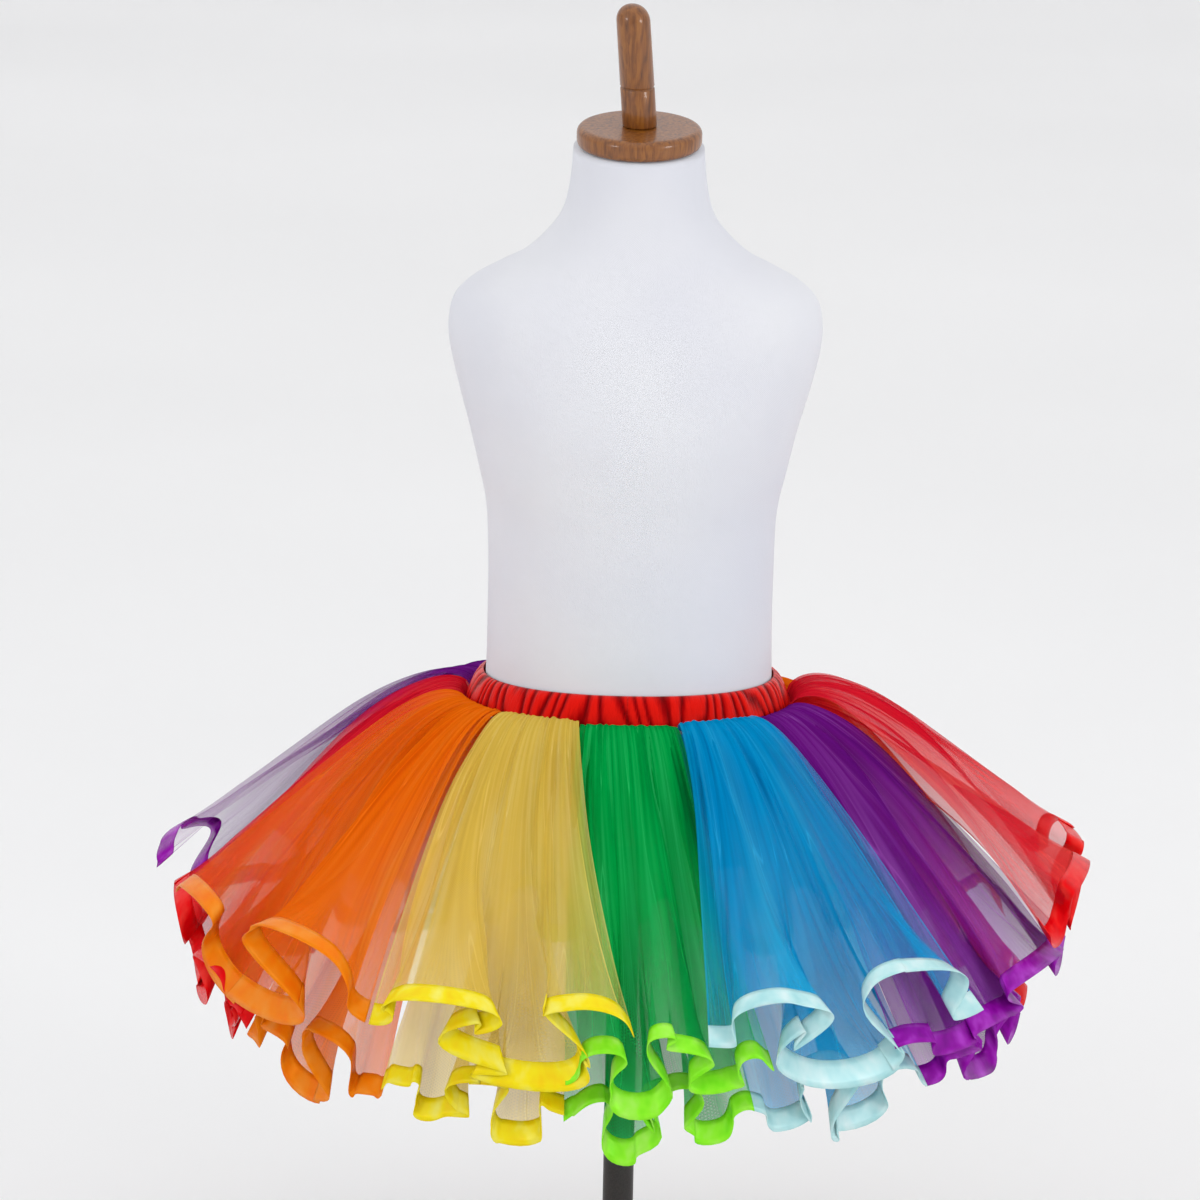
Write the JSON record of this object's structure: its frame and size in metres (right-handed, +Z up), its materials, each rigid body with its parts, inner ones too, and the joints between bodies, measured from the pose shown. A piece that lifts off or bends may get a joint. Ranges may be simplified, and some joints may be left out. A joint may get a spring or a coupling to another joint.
{
  "type": "tulle tutu skirt on a child's dress form",
  "caption": "Flared tutu skirt of rainbow tulle panels with ribbon hems on a gathered satin waistband, worn by a limbless child's dress form on a round stand.",
  "frame": {"origin": "centre of the underside of the stand's round base, on the pole's axis", "axes": "+Z up along the pole, -Y to the front of the form, +X to the form's left side, the viewer's right"},
  "size_m": [0.6765, 0.5991, 1.0122],
  "materials": {
    "dark_metal": "dark coated steel, satin",
    "varnished_wood": "brown stained wood, gloss varnish",
    "ribbon_green": "glossy satin ribbon",
    "ribbon_blue": "glossy satin ribbon",
    "ribbon_purple": "glossy satin ribbon",
    "ribbon_red": "glossy satin ribbon",
    "ribbon_orange": "glossy satin ribbon",
    "ribbon_yellow": "glossy satin ribbon",
    "tulle_green": "sheer soft tulle net, matt",
    "tulle_blue": "sheer soft tulle net, matt",
    "tulle_purple": "sheer soft tulle net, matt",
    "tulle_red": "sheer soft tulle net, matt",
    "tulle_orange": "sheer soft tulle net, matt",
    "tulle_yellow": "sheer soft tulle net, matt",
    "form_jersey": "fine white knitted jersey, matt",
    "waistband_satin": "gathered satin over elastic, glossy"
  },
  "bodies": {
    "root": {"base_plate": "dark_metal", "handle_peg": "varnished_wood", "inner_ribbon_01_green": "ribbon_green", "inner_ribbon_02_blue": "ribbon_blue", "inner_ribbon_03_purple": "ribbon_purple", "inner_ribbon_04_red": "ribbon_red", "inner_ribbon_05_orange": "ribbon_orange", "inner_ribbon_06_yellow": "ribbon_yellow", "inner_ribbon_07_green": "ribbon_green", "inner_ribbon_08_blue": "ribbon_blue", "inner_ribbon_09_purple": "ribbon_purple", "inner_ribbon_10_red": "ribbon_red", "inner_ribbon_11_orange": "ribbon_orange", "inner_ribbon_12_yellow": "ribbon_yellow", "inner_tulle_01_green": "tulle_green", "inner_tulle_02_blue": "tulle_blue", "inner_tulle_03_purple": "tulle_purple", "inner_tulle_04_red": "tulle_red", "inner_tulle_05_orange": "tulle_orange", "inner_tulle_06_yellow": "tulle_yellow", "inner_tulle_07_green": "tulle_green", "inner_tulle_08_blue": "tulle_blue", "inner_tulle_09_purple": "tulle_purple", "inner_tulle_10_red": "tulle_red", "inner_tulle_11_orange": "tulle_orange", "inner_tulle_12_yellow": "tulle_yellow", "neck_cap": "varnished_wood", "outer_ribbon_01_green": "ribbon_green", "outer_ribbon_02_blue": "ribbon_blue", "outer_ribbon_03_purple": "ribbon_purple", "outer_ribbon_04_red": "ribbon_red", "outer_ribbon_05_orange": "ribbon_orange", "outer_ribbon_06_yellow": "ribbon_yellow", "outer_ribbon_07_green": "ribbon_green", "outer_ribbon_08_blue": "ribbon_blue", "outer_ribbon_09_purple": "ribbon_purple", "outer_ribbon_10_red": "ribbon_red", "outer_ribbon_11_orange": "ribbon_orange", "outer_ribbon_12_yellow": "ribbon_yellow", "outer_tulle_01_green": "tulle_green", "outer_tulle_02_blue": "tulle_blue", "outer_tulle_03_purple": "tulle_purple", "outer_tulle_04_red": "tulle_red", "outer_tulle_05_orange": "tulle_orange", "outer_tulle_06_yellow": "tulle_yellow", "outer_tulle_07_green": "tulle_green", "outer_tulle_08_blue": "tulle_blue", "outer_tulle_09_purple": "tulle_purple", "outer_tulle_10_red": "tulle_red", "outer_tulle_11_orange": "tulle_orange", "outer_tulle_12_yellow": "tulle_yellow", "pole": "dark_metal", "torso": "form_jersey", "waistband": "waistband_satin"}
  },
  "joints": []
}
